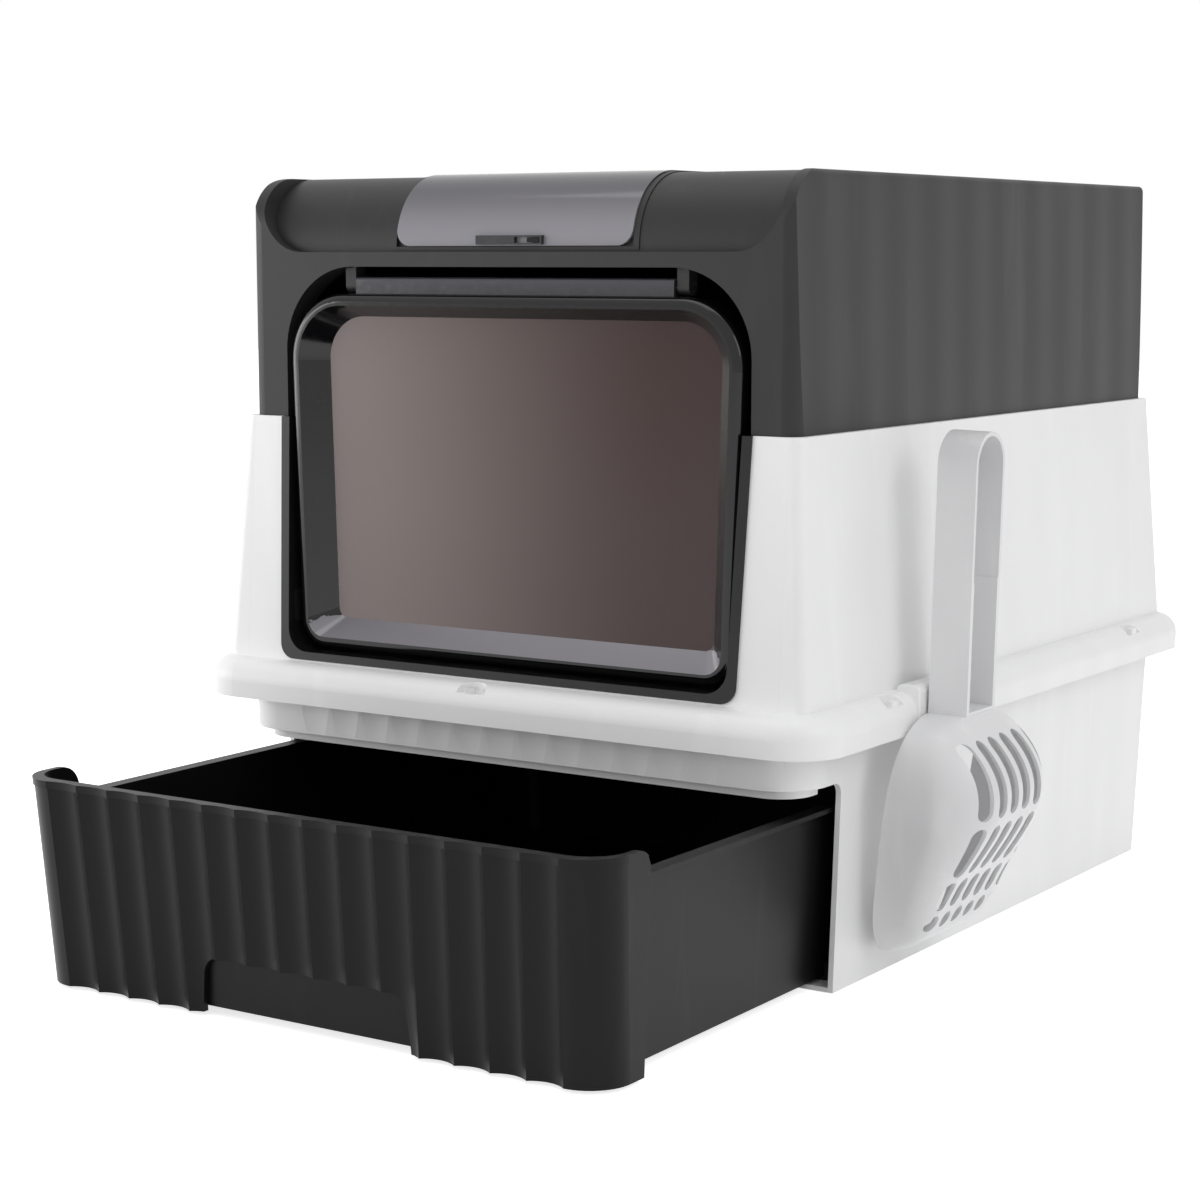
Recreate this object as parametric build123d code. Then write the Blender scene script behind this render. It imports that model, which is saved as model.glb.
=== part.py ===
from build123d import *
import math
import os

# Enclosed litter box with a pull-out litter drawer, in millimetres.
# The origin is the centre of the footprint on the floor: +X right, -Y front, +Z up.
# At rest the drawer stands open, the door and the roof hatch are closed and the scoop
# hangs on the right-hand side.

# Half sizes and levels of the body
JOIN_HALF_WIDTH = 178.2     # top of the middle frame, where the hood stands
JOIN_HALF_DEPTH = 225.0
NECK_OUTSET = 5.5           # base just under the flange, beyond the top of the frame
BASE_DRAFT = 4.2            # the base narrows towards the floor
FLARE = 8.8                 # growth of the frame from its top down to the flange
FLANGE_REACH = 23.6         # flange edge beyond the top of the frame
FLANGE_LOW = 132.3
FLANGE_HEIGHT = 21.3
FRAME_HEIGHT = 135.9        # frame above the flange
HOOD_HEIGHT = 131.0
FLANGE_TOP = FLANGE_LOW + FLANGE_HEIGHT
JOIN_LEVEL = FLANGE_TOP + FRAME_HEIGHT
ROOF_LEVEL = JOIN_LEVEL + HOOD_HEIGHT
NECK_HALF_WIDTH = JOIN_HALF_WIDTH + NECK_OUTSET
NECK_HALF_DEPTH = JOIN_HALF_DEPTH + NECK_OUTSET
FLOOR_HALF_WIDTH = NECK_HALF_WIDTH - BASE_DRAFT
FLOOR_HALF_DEPTH = NECK_HALF_DEPTH - BASE_DRAFT
FLANGE_HALF_WIDTH = JOIN_HALF_WIDTH + FLANGE_REACH
FLANGE_HALF_DEPTH = JOIN_HALF_DEPTH + FLANGE_REACH

# Clearances
CLEAR = 0.3                 # between pieces that lie side by side
RUN = 0.05                  # radial play of a pin that turns
PRESS = 0.02                # radial play of a pin that stays put

# Base
BASE_WALL = 3.0
BASE_FRONT_RADIUS = 27.0
BASE_BACK_RADIUS = 12.0
FLOOR_PLATE = 2.5
LINTEL_HEIGHT = 20.1
BAY_TOP = FLANGE_LOW - LINTEL_HEIGHT
BAY_DEPTH = 44.0            # set-back of the floor's and the side walls' front edge
BAY_BACK = BAY_DEPTH - NECK_HALF_DEPTH
BAY_ROUNDING = 7.0
LINTEL_FLUTE = 1.0
LIP_DROP = 5.6              # strip under the lintel, behind the closed drawer front
LIP_THICKNESS = 2.4
LIP_END_GAP = 10.5
LIP_END = BAY_BACK - LIP_END_GAP
RIM_DROP = 6.6              # top of the base's rim under the top of the flange
RIM_THICKNESS = 3.0
RIM_TOP = FLANGE_TOP - RIM_DROP
RIM_NOTCH_GAP = 3.0         # notch in the rim beside the hanging scoop
RUNNER_WIDTH = 14.0
RUNNER_FENCE = 2.2
RUNNER_HEIGHT = 9.0
RUNNER_END_GAP = 12.0

# Drawer
DRAWER_OUT = 178.0          # how far it stands open
PANEL_SETBACK = 0.8         # closed panel behind the lintel's face
PANEL_WALL = 3.0
PANEL_SIDE_SETBACK = 2.5
PANEL_HALF_WIDTH = NECK_HALF_WIDTH - PANEL_SIDE_SETBACK
PANEL_HEAD_GAP = 0.4
PANEL_TOP = BAY_TOP - PANEL_HEAD_GAP
PANEL_LOW = 1.8
PANEL_LEAN = 8.6            # set-back of the panel's foot
PANEL_TAPER = 3.8
PANEL_RADIUS = 22.2
PANEL_STOP_GAP = 0.5        # closed panel's returns before the base's side walls
RETURN_ROUNDING = 12.0
FLUTES = 15                 # they fill the panel's face between its round corners
FLUTE_DEPTH = 3.6
BEAD_HEIGHT = 4.0
BEAD_PROUD = 0.7
RECESS_TOP = 31.5
RECESS_HALF_TOP = 62.5
RECESS_HALF_LOW = 65.5
RECESS_ROUNDING = 10.0
TUB_WALL = 2.5
TUB_DROP = 13.8             # top of the tray under the top of the panel
TUB_TOP = PANEL_TOP - TUB_DROP
TUB_FOOT = 4.5
TUB_SIDE_SETBACK = 12.2
TUB_HALF_TOP = NECK_HALF_WIDTH - TUB_SIDE_SETBACK
TUB_FOOT_SETBACK = 12.5
TUB_HALF_FOOT = FLOOR_HALF_WIDTH - TUB_FOOT_SETBACK
TUB_DRAFT = 4.5
TUB_RIM = 5.8
TUB_SHORTER = 22.0          # tray shorter than the base
TUB_LENGTH = 2 * NECK_HALF_DEPTH - TUB_SHORTER
TUB_RADIUS = 14.0
RIVET_RADIUS = 2.5
RIVET_HEAD = 5.0
RIVET_HEAD_HEIGHT = 1.8
RIVET_BITE = 2.0
RIVET_Z = 62.0
RIVET_X = (-132.0, -44.0, 44.0, 132.0)

# Middle frame
FRAME_WALL = 3.0
FRAME_RADIUS = 6.0
FLANGE_RADIUS = 30.0
FLANGE_ROUNDING = 12.0
SKIRT = 3.0
SKIRT_GAP = 1.0
LEDGE_THICKNESS = 3.0
RIB_HEIGHT = 6.0
RIB_THICKNESS = 2.0
SNAP_RADIUS = 9.0
SNAP_DEPTH = 5.0
SNAP_FLOOR = FLANGE_TOP - SNAP_DEPTH
SNAP_INSET = 2.0
SNAP_END_GAP = 65.5         # side recesses from the top corners of the frame
SNAP_SIDE_Y = JOIN_HALF_DEPTH - SNAP_END_GAP
SNAP_FRONT_X = 8.0
CLIP_LENGTH = 7.0
CLIP_WIDTH = 4.0
CLIP_HEIGHT = 3.2
CLIP_ROUNDING = 0.8

# Doorway, its upper half in the hood and its lower half in the frame
HOOD_SIDE_SETBACK = 3.3
HOOD_FRONT_SETBACK = 2.0
HOOD_HALF_WIDTH = JOIN_HALF_WIDTH - HOOD_SIDE_SETBACK
HOOD_HALF_DEPTH = JOIN_HALF_DEPTH - HOOD_FRONT_SETBACK
ARCH_SIDE = 25.9            # hood wall beside the doorway
ARCH_HALF_WIDTH = HOOD_HALF_WIDTH - ARCH_SIDE
ARCH_DROP = 48.5
ARCH_TOP = ROOF_LEVEL - ARCH_DROP
ARCH_RADIUS = 46.0
ARCH_JAMB = 2.5
ARCH_DEPTH = 16.0
ARCH_BACK = ARCH_DEPTH - HOOD_HALF_DEPTH
NOTCH_WIDER = 2.2
NOTCH_TAPER = 3.8
NOTCH_HALF_TOP = ARCH_HALF_WIDTH + NOTCH_WIDER
NOTCH_HALF_LOW = NOTCH_HALF_TOP - NOTCH_TAPER
NOTCH_RISE = 1.4            # sill of the doorway over the flange
NOTCH_LOW = FLANGE_TOP + NOTCH_RISE
NOTCH_RADIUS = 9.0
TRIM_FACE = 5.5
TRIM_SILL = 4.5
TRIM_RADIUS = 15.0
TRIM_WALL = 2.0
TRIM_PROUD = 1.2
TRIM_DEPTH = 18.0
TRIM_BACK = TRIM_DEPTH - JOIN_HALF_DEPTH
PAD_RISE = 20.5
PAD_HEIGHT = 17.5
PAD_LEAD = 3.0
PAD_WIDTH = 10.0
PAD_LOW = NOTCH_LOW + PAD_RISE
PAD_FRONT = -JOIN_HALF_DEPTH - PAD_LEAD
PAD_RADIUS = 2.5

# Hood
HOOD_WALL = 2.5
HOOD_RADIUS = 9.0
HOOD_LEAN = 3.4             # lean of the side walls up to the roof
HOOD_BACK_LEAN = 4.0
HOOD_EDGE = 4.0
CHEEK_RADIUS = 26.0         # roll of the roof front at the two cheeks
CHEEK_WIDTH = 9.9
VALLEY_RADIUS = 38.0        # larger roll of the sunk roof front between the cheeks
VALLEY_SETBACK = 6.0
VALLEY_DROP = 40.7
VALLEY_HALF_WIDTH = HOOD_HALF_WIDTH - CHEEK_WIDTH
VALLEY_LOW = ROOF_LEVEL - VALLEY_DROP
VALLEY_CORNER = 27.0
VALLEY_FRONT = VALLEY_SETBACK - HOOD_HALF_DEPTH

# Door
DOOR_SIDE_GAP = 3.2
DOOR_TAPER = 5.4
DOOR_HEAD_GAP = 14.5        # room for the hinge between the door and the arch
DOOR_FOOT_GAP = 1.5
DOOR_HALF_TOP = ARCH_HALF_WIDTH - DOOR_SIDE_GAP
DOOR_HALF_LOW = DOOR_HALF_TOP - DOOR_TAPER
DOOR_TOP = ARCH_TOP - DOOR_HEAD_GAP
DOOR_LOW = NOTCH_LOW + TRIM_SILL + DOOR_FOOT_GAP
DOOR_TOP_RADIUS = 36.0
DOOR_LOW_RADIUS = 17.0
DOOR_PROUD = 3.5            # door's face before the hood's
DOOR_THICKNESS = 16.0
DOOR_FRONT = -HOOD_HALF_DEPTH - DOOR_PROUD
DOOR_BACK = DOOR_FRONT + DOOR_THICKNESS
DOOR_WALL = 2.5
DOOR_ROUNDING = 5.0
ROLL = 6.5                  # width of the rolled edge before the bevel starts
BEVEL_SIDE = 18.5           # pane edge from the door's outline
BEVEL_LOW = 16.5
BEVEL_TOP = 12.5
PIN_SETBACK = 11.9          # over the door's centre of mass, so it hangs closed
PIN_RISE = 4.5
PIN_Y = DOOR_FRONT + PIN_SETBACK
PIN_Z = DOOR_TOP + PIN_RISE
PIN_RADIUS = 2.5
PIN_BITE = 8.0
RAIL_END_GAP = 47.1         # the rail keeps to the flat part of the arch
RAIL_HALF_WIDTH = ARCH_HALF_WIDTH - RAIL_END_GAP
RAIL_TOP = PIN_Z + PIN_RISE
RAIL_HALF_DEPTH = 5.6
RAIL_ROUNDING = 2.0
BRACKET_GAP = 1.0
BRACKET_WIDTH = 7.0
SCREW_RADIUS = 1.5
SCREW_HEAD = 2.8
SCREW_HEAD_HEIGHT = 1.8
SCREW_BITE = 4.5

# Roof hatch
HATCH_HALF_WIDTH = 75.4
HATCH_DROP = 37.5
HATCH_LOW = ROOF_LEVEL - HATCH_DROP
HATCH_CORNER = 9.0
HATCH_SHEET = 2.5
HATCH_PROUD = 1.2
HATCH_GAP = 0.4
HATCH_LENGTH = 135.0        # hinge axis behind the hood's sunk front
HATCH_AXIS_Y = VALLEY_FRONT + HATCH_LENGTH
HATCH_AXIS_DROP = 2.1
HATCH_AXIS_Z = ROOF_LEVEL - HATCH_AXIS_DROP
BARREL_RADIUS = 3.2
BARREL_SPACE = 4.0
HATCH_PIN_RADIUS = 1.5
HATCH_PIN_BITE = 6.0
SEAT_EDGE = 3.4
SEAT_LEDGE = 5.8
SEAT_DEPTH = 6.0
SEAT_PROUD = 0.5
SEAT_BAR = 3.4
TAB_HALF_LENGTH = 21.0
TAB_RISE = 0.6
TAB_LOW = HATCH_LOW + TAB_RISE
TAB_HEIGHT = 4.8
TAB_REACH = 2.4
TAB_END_WALL = 1.0
CATCH_LENGTH = 7.5
CATCH_TRAVEL = 8.0
CATCH_HEIGHT = 2.6

# Scoop, hung on the side of the flange
SCOOP_END_GAP = 110.0       # scoop's middle from the front corner of the frame
SCOOP_Y = SCOOP_END_GAP - JOIN_HALF_DEPTH
BOWL_RISE = 9.7             # top of the bowl over the flange's lower edge
BOWL_TOP = FLANGE_LOW + BOWL_RISE
BOWL_HALF_WIDTH = 51.0
BOWL_WALL = 2.0
BOWL_OPEN = 12.0            # the hollow runs out this far on the wall side
BOWL_SECTIONS = (           # depth under the top, wall side and outer side from the flange's edge,
    (0.0, 2.7, 24.7, 31.0, 8.0),        # half width less than the widest, corner radius
    (12.0, 1.4, 33.5, 7.0, 18.0),
    (34.0, -2.6, 47.7, 0.0, 28.0),
    (58.0, -6.5, 44.2, 0.5, 26.0),
    (94.0, -11.5, 23.0, 3.5, 15.0),
    (127.0, -16.2, -9.8, 21.0, 2.6),
)
SLOT_COLUMNS = 6
SLOT_WIDTH = 9.0
SLOT_PITCH = 14.0
SLOT_ROWS = ((11.0, 50.0), (54.0, 81.0), (84.0, 100.0), (103.0, 112.0))  # depths under the top
HANDLE_WIDTH = 34.0
HANDLE_DEPTH = 22.0
HANDLE_LENGTH = 147.0
HANDLE_GAP = 2.5            # between the flange's edge and the handle
HANDLE_INNER = FLANGE_HALF_WIDTH + HANDLE_GAP
HANDLE_TOP = BOWL_TOP + HANDLE_LENGTH
HANDLE_WALL = 2.2
HANDLE_WEB = 2.4
HANDLE_STEP_RISE = 70.0
HANDLE_STEP = BOWL_TOP + HANDLE_STEP_RISE
HANDLE_STEP_WALL = 3.0
HANDLE_LEAN = 1.2           # degrees, the top leans away from the wall
HOLDER_HALF_LENGTH = 24.0
HOLDER_RISE = 3.4
HOLDER_DEPTH = 13.0
HOLDER_PROUD = 1.2
HOLDER_EDGE = 4.0
HOLDER_CORNER = 1.0
PEG_HALF_WIDTH = 8.0
PEG_RISE = 1.7
PEG_REACH = 9.0

FLUTE_PITCH = 2 * (PANEL_HALF_WIDTH - PANEL_RADIUS) / FLUTES
PANEL_FRONT = PANEL_SETBACK - NECK_HALF_DEPTH - DRAWER_OUT
PANEL_RETURN = NECK_HALF_DEPTH - PANEL_SETBACK + BAY_BACK - PANEL_STOP_GAP
PANEL_SLOPE = PANEL_LEAN / (PANEL_TOP - PANEL_LOW)
SEAT_HALF_WIDTH = HATCH_HALF_WIDTH + HATCH_GAP + SEAT_EDGE
TUB_FRONT = PANEL_FRONT + FLUTE_DEPTH + PANEL_WALL + CLEAR
MARGIN = 1.0                # how far a cut runs past the face it opens
FAR = 500.0                 # longer than any cut has to be


def put(node, solids):
    """Write one node, a single solid or a group of alike solids."""
    shape = Compound(children=list(solids)) if isinstance(solids, list) else solids
    shape.label = node
    export_step(shape, os.path.join("parts", node + ".step"))


def block(x0, x1, y0, y1, z0, z1):
    """Box given by its limits."""
    return Pos((x0 + x1) / 2, (y0 + y1) / 2, (z0 + z1) / 2) * Box(x1 - x0, y1 - y0, z1 - z0)


def both_sides(solid):
    """The right-hand piece and its mirror image."""
    return [solid, mirror(solid, about=Plane.YZ)]


def plan(half_width, y0, y1, front_radius, back_radius, z):
    """Rounded rectangle in plan at the level z."""
    middle = (y0 + y1) / 2
    face = Pos(0, middle, z) * Rectangle(2 * half_width, y1 - y0)
    front = [v for v in face.vertices() if v.Y < middle]
    face = fillet(front, front_radius)
    back = [v for v in face.vertices() if v.Y > y1 - 0.01]
    return fillet(back, back_radius)


def centred_plan(half_width, half_depth, radius, z):
    return plan(half_width, -half_depth, half_depth, radius, radius, z)


def face_yz(points):
    """Face in the middle plane from (y, z) corners."""
    return make_face(Polyline(*[(0, y, z) for y, z in points], close=True))


def face_xz(points, y=0):
    """Face square to the Y axis from (x, z) corners."""
    return make_face(Polyline(*[(x, y, z) for x, z in points], close=True))


def rounded(face, wanted, radius):
    """The face with those corners rounded that pass the test."""
    return fillet([v for v in face.vertices() if wanted(v)], radius)


def across(face, half_length=FAR):
    """Extrude a face of the middle plane to both sides along X."""
    return extrude(face, amount=half_length, dir=(1, 0, 0), both=True)


def along_y(face, length):
    return extrude(face, amount=length, dir=(0, 1, 0))


def rod(radius, x0, x1, y, z):
    """Round rod along X."""
    return Pos((x0 + x1) / 2, y, z) * Rot(0, 90, 0) * Cylinder(radius, x1 - x0)


# Base

def base_block(inset, low, high):
    """Form of the base between two levels, set in by a wall."""
    faces = []
    for z in (low, high):
        share = z / FLANGE_LOW
        half_width = FLOOR_HALF_WIDTH + share * (NECK_HALF_WIDTH - FLOOR_HALF_WIDTH) - inset
        half_depth = FLOOR_HALF_DEPTH + share * (NECK_HALF_DEPTH - FLOOR_HALF_DEPTH) - inset
        faces.append(plan(half_width, -half_depth, half_depth,
                          BASE_FRONT_RADIUS - inset, BASE_BACK_RADIUS - inset, z))
    return loft(faces, ruled=True)


def base_shell():
    """Floor, walls, lintel with its set-back lip, and the rim that carries the frame."""
    shell = base_block(0, 0, RIM_TOP) - base_block(BASE_WALL, FLOOR_PLATE, RIM_TOP + MARGIN)
    bay = face_yz([(-FAR, -MARGIN), (-FAR, BAY_TOP), (BAY_BACK, BAY_TOP), (BAY_BACK, -MARGIN)])
    bay = rounded(bay, lambda v: v.Y > BAY_BACK - MARGIN and v.Z > 0, BAY_ROUNDING)
    shell -= across(bay)
    for i in range(FLUTES):
        shell -= lintel_scallop((i - (FLUTES - 1) / 2) * FLUTE_PITCH)
    setback = PANEL_SETBACK + FLUTE_DEPTH + PANEL_WALL + 2 * CLEAR
    lip = base_block(setback, BAY_TOP - LIP_DROP, BAY_TOP + LIP_THICKNESS)
    lip += base_block(BASE_WALL / 2, BAY_TOP, BAY_TOP + LIP_THICKNESS)
    lip -= base_block(setback + LIP_THICKNESS, BAY_TOP - LIP_DROP - MARGIN,
                      BAY_TOP + LIP_THICKNESS + MARGIN)
    lip &= block(-FAR, FAR, -FAR, LIP_END, 0, FAR)
    return shell + lip + base_rim()


def base_rim():
    """Rim that carries the frame, cut away where the scoop passes when the frame is lifted."""
    reach = FLANGE_REACH - SKIRT - SKIRT_GAP
    low = RIM_TOP - RIM_THICKNESS
    plate = centred_plan(JOIN_HALF_WIDTH + reach, JOIN_HALF_DEPTH + reach,
                         FLANGE_RADIUS - SKIRT - SKIRT_GAP, low)
    rim = extrude(plate, RIM_THICKNESS)
    rim -= base_block(BASE_WALL, low - RIM_THICKNESS, RIM_TOP + MARGIN)
    half = BOWL_HALF_WIDTH + RIM_NOTCH_GAP
    notch = block(0, FAR, SCOOP_Y - half, SCOOP_Y + half, low - MARGIN, RIM_TOP + MARGIN)
    return rim - (notch - base_block(0, low - RIM_THICKNESS, RIM_TOP + 2 * MARGIN))


def lintel_scallop(x):
    """Cutter for one shallow scallop in the lintel's face."""
    radius = ((FLUTE_PITCH / 2) ** 2 + LINTEL_FLUTE ** 2) / (2 * LINTEL_FLUTE)
    height = FLANGE_LOW - BAY_TOP + 10
    y = -(NECK_HALF_DEPTH + radius - LINTEL_FLUTE)
    return Pos(x, y, BAY_TOP - 1 + height / 2) * Cylinder(radius, height)


def drawer_runners():
    """Two low-friction strips on the floor, each with a fence beside the tub."""
    thickness = TUB_FOOT - CLEAR - FLOOR_PLATE
    fence = TUB_HALF_FOOT + 3 * CLEAR
    y0 = BAY_BACK + RUNNER_END_GAP
    y1 = FLOOR_HALF_DEPTH - BASE_WALL - RUNNER_END_GAP
    strip = block(TUB_HALF_FOOT - RUNNER_WIDTH, fence, y0, y1, FLOOR_PLATE, FLOOR_PLATE + thickness)
    strip += block(fence, fence + RUNNER_FENCE, y0, y1, FLOOR_PLATE, FLOOR_PLATE + RUNNER_HEIGHT)
    return both_sides(strip)


# Drawer

def panel_edges(half_width, front, back, radius, flute_depth):
    """Plan of the drawer front: round corners, straight returns, scalloped face."""
    slack = radius * (1 - math.sqrt(0.5))
    edges = [Line((-half_width, back), (-half_width, front + radius)),
             ThreePointArc((-half_width, front + radius), (-half_width + slack, front + slack),
                           (-half_width + radius, front))]
    if flute_depth > 0:
        pitch = 2 * (half_width - radius) / FLUTES
        for i in range(FLUTES):
            x = radius - half_width + i * pitch
            edges.append(ThreePointArc((x, front), (x + pitch / 2, front + flute_depth), (x + pitch, front)))
    else:
        edges.append(Line((-half_width + radius, front), (half_width - radius, front)))
    edges += [ThreePointArc((half_width - radius, front), (half_width - slack, front + slack),
                            (half_width, front + radius)),
              Line((half_width, front + radius), (half_width, back)),
              Line((half_width, back), (-half_width, back))]
    return edges


def panel_block(side_inset, front_inset, back, low, high, flute_depth):
    """Leaning block in the form of the drawer front, between two levels."""
    faces = []
    for z in (low, high):
        drop = PANEL_TOP - z
        half_width = PANEL_HALF_WIDTH - side_inset - drop * PANEL_TAPER / (PANEL_TOP - PANEL_LOW)
        front = PANEL_FRONT + front_inset + drop * PANEL_SLOPE
        edges = panel_edges(half_width, front, back, PANEL_RADIUS - side_inset, flute_depth)
        faces.append(Pos(0, 0, z) * make_face(edges))
    return loft(faces, ruled=True)


def drawer_front():
    """Fluted front that wraps round the corners, with a bead on top and a finger recess below."""
    back = PANEL_FRONT + PANEL_RETURN
    shell = panel_block(0, 0, back, PANEL_LOW, PANEL_TOP, FLUTE_DEPTH)
    shell += panel_block(-BEAD_PROUD, -BEAD_PROUD, back, PANEL_TOP - BEAD_HEIGHT, PANEL_TOP, FLUTE_DEPTH / 2)
    shell -= panel_block(PANEL_WALL, PANEL_WALL + FLUTE_DEPTH, back + 1, PANEL_LOW - 1, PANEL_TOP + 1, 0)
    corner = face_yz([(back - 2 * RETURN_ROUNDING, PANEL_TOP - 2 * RETURN_ROUNDING),
                      (back - 2 * RETURN_ROUNDING, PANEL_TOP + 1), (back + 1, PANEL_TOP + 1),
                      (back + 1, PANEL_TOP - 2 * RETURN_ROUNDING)])
    keep = face_yz([(back - 3 * RETURN_ROUNDING, PANEL_TOP - 3 * RETURN_ROUNDING),
                    (back - 3 * RETURN_ROUNDING, PANEL_TOP), (back, PANEL_TOP),
                    (back, PANEL_TOP - 3 * RETURN_ROUNDING)])
    keep = rounded(keep, lambda v: v.Y > back - 1 and v.Z > PANEL_TOP - 1, RETURN_ROUNDING)
    shell -= across(corner) - across(keep)
    recess = face_xz([(-RECESS_HALF_LOW, -10), (-RECESS_HALF_LOW, PANEL_LOW + 2),
                      (-RECESS_HALF_TOP, RECESS_TOP), (RECESS_HALF_TOP, RECESS_TOP),
                      (RECESS_HALF_LOW, PANEL_LOW + 2), (RECESS_HALF_LOW, -10)], PANEL_FRONT - 10)
    recess = rounded(recess, lambda v: v.Z > RECESS_TOP - 1, RECESS_ROUNDING)
    shell -= along_y(recess, PANEL_RETURN)
    for hole in rivet_shanks(PRESS):
        shell -= hole
    return shell


def tub_block(inset, low, high):
    """Form of the litter tray between two levels; its front leans like the panel."""
    faces = []
    for z in (low, high):
        drop = (TUB_TOP - z) / (TUB_TOP - TUB_FOOT)
        half_width = TUB_HALF_TOP - drop * (TUB_HALF_TOP - TUB_HALF_FOOT) - inset
        y0 = TUB_FRONT + (PANEL_TOP - z) * PANEL_SLOPE + inset
        y1 = TUB_FRONT + TUB_LENGTH - drop * TUB_DRAFT - inset
        faces.append(plan(half_width, y0, y1, TUB_RADIUS - inset, TUB_RADIUS - inset, z))
    return loft(faces, ruled=True)


def drawer_tub():
    """Litter tray with a flat rim on its sides and back."""
    tub = tub_block(0, TUB_FOOT, TUB_TOP)
    y0 = TUB_FRONT + (PANEL_TOP - TUB_TOP) * PANEL_SLOPE + TUB_WALL
    y1 = TUB_FRONT + TUB_LENGTH + TUB_RIM
    outline = plan(TUB_HALF_TOP + TUB_RIM, y0, y1, PANEL_RADIUS - PANEL_WALL, TUB_RADIUS + TUB_RIM,
                   TUB_TOP - TUB_WALL)
    tub += extrude(outline, TUB_WALL)
    tub -= tub_block(TUB_WALL, TUB_FOOT + TUB_WALL, TUB_TOP + MARGIN)
    for hole in rivet_shanks(PRESS):
        tub -= hole
    return tub


def rivet_plane(x):
    """Plane on the tub's inner face at one rivet, its normal pointing into the tub."""
    y = TUB_FRONT + (PANEL_TOP - RIVET_Z) * PANEL_SLOPE + TUB_WALL
    return Plane(origin=(x, y, RIVET_Z), x_dir=(1, 0, 0), z_dir=(0, 1, PANEL_SLOPE))


def rivet_shanks(play=0.0):
    """Rods through the tub's wall into the back of the panel."""
    length = TUB_WALL + CLEAR + RIVET_BITE
    return [rivet_plane(x) * Pos(0, 0, -length / 2) * Cylinder(RIVET_RADIUS + play, length) for x in RIVET_X]


def drawer_front_rivets():
    heads = [rivet_plane(x) * Pos(0, 0, RIVET_HEAD_HEIGHT / 2) * Cylinder(RIVET_HEAD, RIVET_HEAD_HEIGHT)
             for x in RIVET_X]
    return [shank + head for shank, head in zip(rivet_shanks(), heads)]


# Middle frame

def frame_block(inset, low, high):
    """Form of the flaring frame wall between two levels."""
    faces = []
    for z in (low, high):
        grow = FLARE * (JOIN_LEVEL - z) / (JOIN_LEVEL - FLANGE_TOP) - inset
        faces.append(centred_plan(JOIN_HALF_WIDTH + grow, JOIN_HALF_DEPTH + grow, FRAME_RADIUS - inset, z))
    return loft(faces, ruled=True)


def flange_block():
    """Solid flange with its rounded shoulder."""
    solid = extrude(centred_plan(FLANGE_HALF_WIDTH, FLANGE_HALF_DEPTH, FLANGE_RADIUS, FLANGE_LOW),
                    FLANGE_TOP - FLANGE_LOW)
    top = solid.faces().sort_by(Axis.Z)[-1]
    return fillet(top.edges(), FLANGE_ROUNDING)


def hood_seat_ring(outset, inset, low, high):
    """Ring that follows the inside of the hood's foot."""
    outer = extrude(centred_plan(HOOD_HALF_WIDTH - HOOD_WALL + outset, HOOD_HALF_DEPTH - HOOD_WALL + outset,
                                 FRAME_RADIUS, low), high - low)
    inner = extrude(centred_plan(HOOD_HALF_WIDTH - HOOD_WALL - inset, HOOD_HALF_DEPTH - HOOD_WALL - inset,
                                 FRAME_RADIUS - 2, low - 1), high - low + 2)
    return outer - inner


def notch_outline(side_inset, low, radius, y, high=JOIN_LEVEL + 20):
    """Doorway outline in the frame: open at the top, tapering, with round lower corners."""
    slope = (NOTCH_HALF_TOP - NOTCH_HALF_LOW) / (JOIN_LEVEL - NOTCH_LOW)
    half_low = NOTCH_HALF_LOW + (low - NOTCH_LOW) * slope - side_inset
    half_high = NOTCH_HALF_LOW + (high - NOTCH_LOW) * slope - side_inset
    face = face_xz([(-half_low, low), (-half_high, high), (half_high, high), (half_low, low)], y)
    return rounded(face, lambda v: v.Z < low + 1, radius)


def snap_places():
    """Centres of the snap recesses along the flange."""
    x = FLANGE_HALF_WIDTH - SNAP_INSET
    y = FLANGE_HALF_DEPTH - SNAP_INSET
    return [(-SNAP_FRONT_X, -y), (SNAP_FRONT_X, y), (x, -SNAP_SIDE_Y), (x, SNAP_SIDE_Y),
            (-x, -SNAP_SIDE_Y), (-x, SNAP_SIDE_Y)]


def mid_frame():
    """White frame: flaring wall, flange with its skirt, and the ledge that carries the hood."""
    frame = frame_block(0, RIM_TOP, JOIN_LEVEL) + flange_block()
    cavity = FLANGE_REACH - SKIRT
    frame -= extrude(centred_plan(JOIN_HALF_WIDTH + cavity, JOIN_HALF_DEPTH + cavity, FLANGE_RADIUS - SKIRT,
                                  FLANGE_LOW - 1), RIM_TOP - FLANGE_LOW + 1)
    frame -= frame_block(FRAME_WALL, RIM_TOP - MARGIN, JOIN_LEVEL + MARGIN)
    ledge = hood_seat_ring(FRAME_WALL + FRAME_WALL / 2, 2 * CLEAR + RIB_THICKNESS,
                           JOIN_LEVEL - LEDGE_THICKNESS, JOIN_LEVEL)
    rib = hood_seat_ring(-2 * CLEAR, 2 * CLEAR + RIB_THICKNESS, JOIN_LEVEL - MARGIN, JOIN_LEVEL + RIB_HEIGHT)
    gate = ARCH_HALF_WIDTH + ARCH_JAMB + 2 * CLEAR
    rib -= block(-gate, gate, -FAR, ARCH_BACK, 0, FAR)
    frame += ledge + rib
    frame -= along_y(notch_outline(0, NOTCH_LOW, NOTCH_RADIUS, -FAR), FAR + TRIM_BACK)
    for x, y in snap_places():
        frame -= Pos(x, y, SNAP_FLOOR + SNAP_RADIUS) * Cylinder(SNAP_RADIUS, 2 * SNAP_RADIUS)
    return frame


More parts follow.
